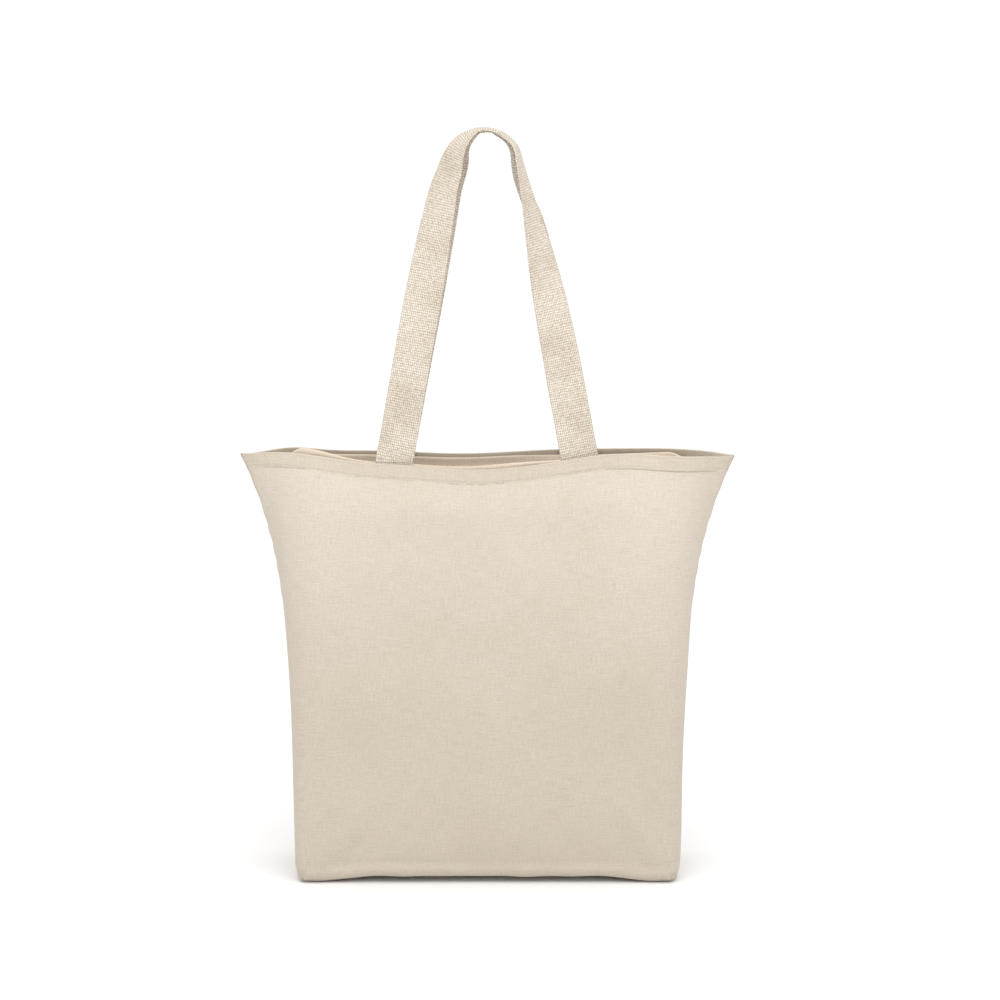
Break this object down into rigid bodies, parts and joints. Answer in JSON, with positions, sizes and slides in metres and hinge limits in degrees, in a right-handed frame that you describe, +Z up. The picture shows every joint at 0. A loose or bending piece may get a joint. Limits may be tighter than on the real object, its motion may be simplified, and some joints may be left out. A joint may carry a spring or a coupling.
{
  "type": "canvas tote bag",
  "caption": "Natural cotton canvas tote bag with a flared body on a boxed base, an open zip top and two upright webbing shoulder handles.",
  "frame": {"origin": "middle of the base, on the surface that the bag stands on", "axes": "+Z up, +X to the bag's right as seen from the front, -Y the front; the mouth runs along X"},
  "size_m": [0.4636, 0.1358, 0.705],
  "materials": {
    "canvas": "matte",
    "webbing": "matte",
    "thread": "matte",
    "zip_tape": "matte",
    "zip_coil": "satin",
    "zip_metal": "satin"
  },
  "bodies": {
    "root": {"front_panel": "canvas", "back_panel": "canvas", "front_hem_stitching": "thread", "back_hem_stitching": "thread", "front_handle_ends": "webbing", "back_handle_ends": "webbing", "front_placket": "canvas", "back_placket": "canvas", "front_zip_tape": "zip_tape", "back_zip_tape": "zip_tape", "front_zip_coil": "zip_coil", "back_zip_coil": "zip_coil", "zip_bottom_stop": "zip_metal", "zip_top_stops": "zip_metal"},
    "front_handle": {"front_handle": "webbing"},
    "back_handle": {"back_handle": "webbing"},
    "zip_slider": {"zip_slider": "zip_metal"},
    "zip_pull": {"zip_pull": "zip_metal"}
  },
  "joints": [
    {"name": "front_handle_fold", "type": "hinge", "parent": "root", "child": "front_handle", "pos_m": [0, -0.0459, 0.3983], "axis": [1, 0, 0], "range_deg": [0, 165]},
    {"name": "back_handle_fold", "type": "hinge", "parent": "root", "child": "back_handle", "pos_m": [0, 0.0459, 0.3983], "axis": [-1, 0, 0], "range_deg": [0, 165]},
    {"name": "zip_slider_travel", "type": "slide", "parent": "root", "child": "zip_slider", "axis": [1, 0, 0], "range_m": [0, 0.044], "deforming": ["front_zip_coil", "back_zip_coil"]},
    {"name": "zip_pull_swing", "type": "hinge", "parent": "zip_slider", "child": "zip_pull", "pos_m": [0.14, 0, 0.3634], "axis": [0, -1, 0], "range_deg": [0, 175]}
  ]
}
